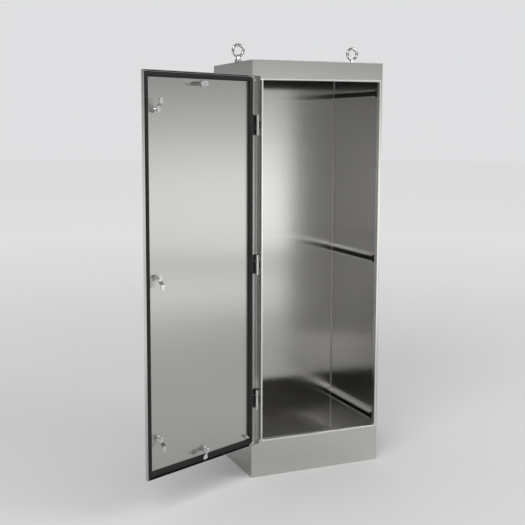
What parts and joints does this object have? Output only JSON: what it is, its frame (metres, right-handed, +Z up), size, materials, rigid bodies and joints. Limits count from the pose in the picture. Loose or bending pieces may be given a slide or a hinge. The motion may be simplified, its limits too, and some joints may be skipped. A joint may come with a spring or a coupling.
{
  "type": "industrial switchboard cabinet",
  "caption": "Free-standing stainless steel switchboard cabinet with a full-height hinged door, quarter-turn latches, lifting eyes and channel mounting rails.",
  "frame": {"origin": "centre of the cabinet's footprint, on the floor", "axes": "+Z up, +X to the right of someone facing the cabinet's front, front face towards -Y"},
  "size_m": [1.1924, 0.7176, 1.915],
  "materials": {
    "body_stainless": "vertical satin grain",
    "door_stainless": "vertical satin grain",
    "lip_stainless": "satin grain along the fold, ground welds",
    "rail_steel": "mill finish",
    "plain_steel": "mill finish",
    "hinge_steel": "fine turned finish",
    "bright_zinc": "bright zinc plate",
    "eye_forged": "forged, bright plated",
    "latch_black": "black powder coat",
    "latch_core": "black oxide",
    "gasket_foam": "closed-cell foam skin",
    "washer_rubber": "moulded"
  },
  "bodies": {
    "cabinet": {"anchor_bar_left": "plain_steel", "anchor_bar_right": "plain_steel", "back_panel": "body_stainless", "body_earth_nut": "bright_zinc", "body_earth_stud": "bright_zinc", "eye_backing_plates": "plain_steel", "eye_nuts": "bright_zinc", "eye_washers": "washer_rubber", "floor_pan": "body_stainless", "front_header": "body_stainless", "front_plinth": "body_stainless", "hinge_jamb": "lip_stainless", "hinge_leaf_body_lower": "hinge_steel", "hinge_leaf_body_middle": "hinge_steel", "hinge_leaf_body_upper": "hinge_steel", "hinge_pins": "hinge_steel", "latch_jamb": "body_stainless", "left_side_panel": "body_stainless", "lifting_eye_left": "eye_forged", "lifting_eye_right": "eye_forged", "opening_lip_bottom": "lip_stainless", "opening_lip_left": "lip_stainless", "opening_lip_right": "lip_stainless", "opening_lip_top": "lip_stainless", "rail_left_bottom": "rail_steel", "rail_left_middle": "rail_steel", "rail_left_top": "rail_steel", "rail_right_bottom": "rail_steel", "rail_right_middle": "rail_steel", "rail_right_top": "rail_steel", "right_side_panel": "body_stainless", "top_panel": "body_stainless"},
    "door": {"door_earth_nut": "bright_zinc", "door_earth_stud": "bright_zinc", "door_gasket_bottom": "gasket_foam", "door_gasket_left": "gasket_foam", "door_gasket_right": "gasket_foam", "door_gasket_top": "gasket_foam", "door_panel": "door_stainless", "hinge_leaf_door_lower": "hinge_steel", "hinge_leaf_door_middle": "hinge_steel", "hinge_leaf_door_upper": "hinge_steel", "latch_housings": "latch_black", "latch_nuts": "bright_zinc"},
    "latch_upper": {"latch_spindle_upper": "latch_core", "latch_cam_upper": "bright_zinc", "cam_screw_upper": "bright_zinc"},
    "latch_middle": {"latch_spindle_middle": "latch_core", "latch_cam_middle": "bright_zinc", "cam_screw_middle": "bright_zinc"},
    "latch_lower": {"latch_spindle_lower": "latch_core", "latch_cam_lower": "bright_zinc", "cam_screw_lower": "bright_zinc"},
    "latch_top": {"latch_spindle_top": "latch_core", "latch_cam_top": "bright_zinc", "cam_screw_top": "bright_zinc"},
    "latch_bottom": {"latch_spindle_bottom": "latch_core", "latch_cam_bottom": "bright_zinc", "cam_screw_bottom": "bright_zinc"}
  },
  "joints": [
    {"name": "door_hinge", "type": "hinge", "parent": "cabinet", "child": "door", "pos_m": [-0.3, -0.247, 0.955], "axis": [0, 0, 1], "range_deg": [-8, 157]},
    {"name": "upper_latch_turn", "type": "hinge", "parent": "door", "child": "latch_upper", "pos_m": [-0.80682, -0.46702, 1.611], "axis": [0.3907, -0.9205, 0], "range_deg": [0, 90]},
    {"name": "middle_latch_turn", "type": "hinge", "parent": "door", "child": "latch_middle", "pos_m": [-0.80682, -0.46702, 0.962], "axis": [-0.3907, 0.9205, 0], "range_deg": [0, 90]},
    {"name": "lower_latch_turn", "type": "hinge", "parent": "door", "child": "latch_lower", "pos_m": [-0.80682, -0.46702, 0.315], "axis": [-0.3907, 0.9205, 0], "range_deg": [0, 90]},
    {"name": "top_latch_turn", "type": "hinge", "parent": "door", "child": "latch_top", "pos_m": [-0.57439, -0.36836, 1.718], "axis": [-0.3907, 0.9205, 0], "range_deg": [0, 90]},
    {"name": "bottom_latch_turn", "type": "hinge", "parent": "door", "child": "latch_bottom", "pos_m": [-0.57439, -0.36836, 0.208], "axis": [0.3907, -0.9205, 0], "range_deg": [-30, 60]}
  ]
}
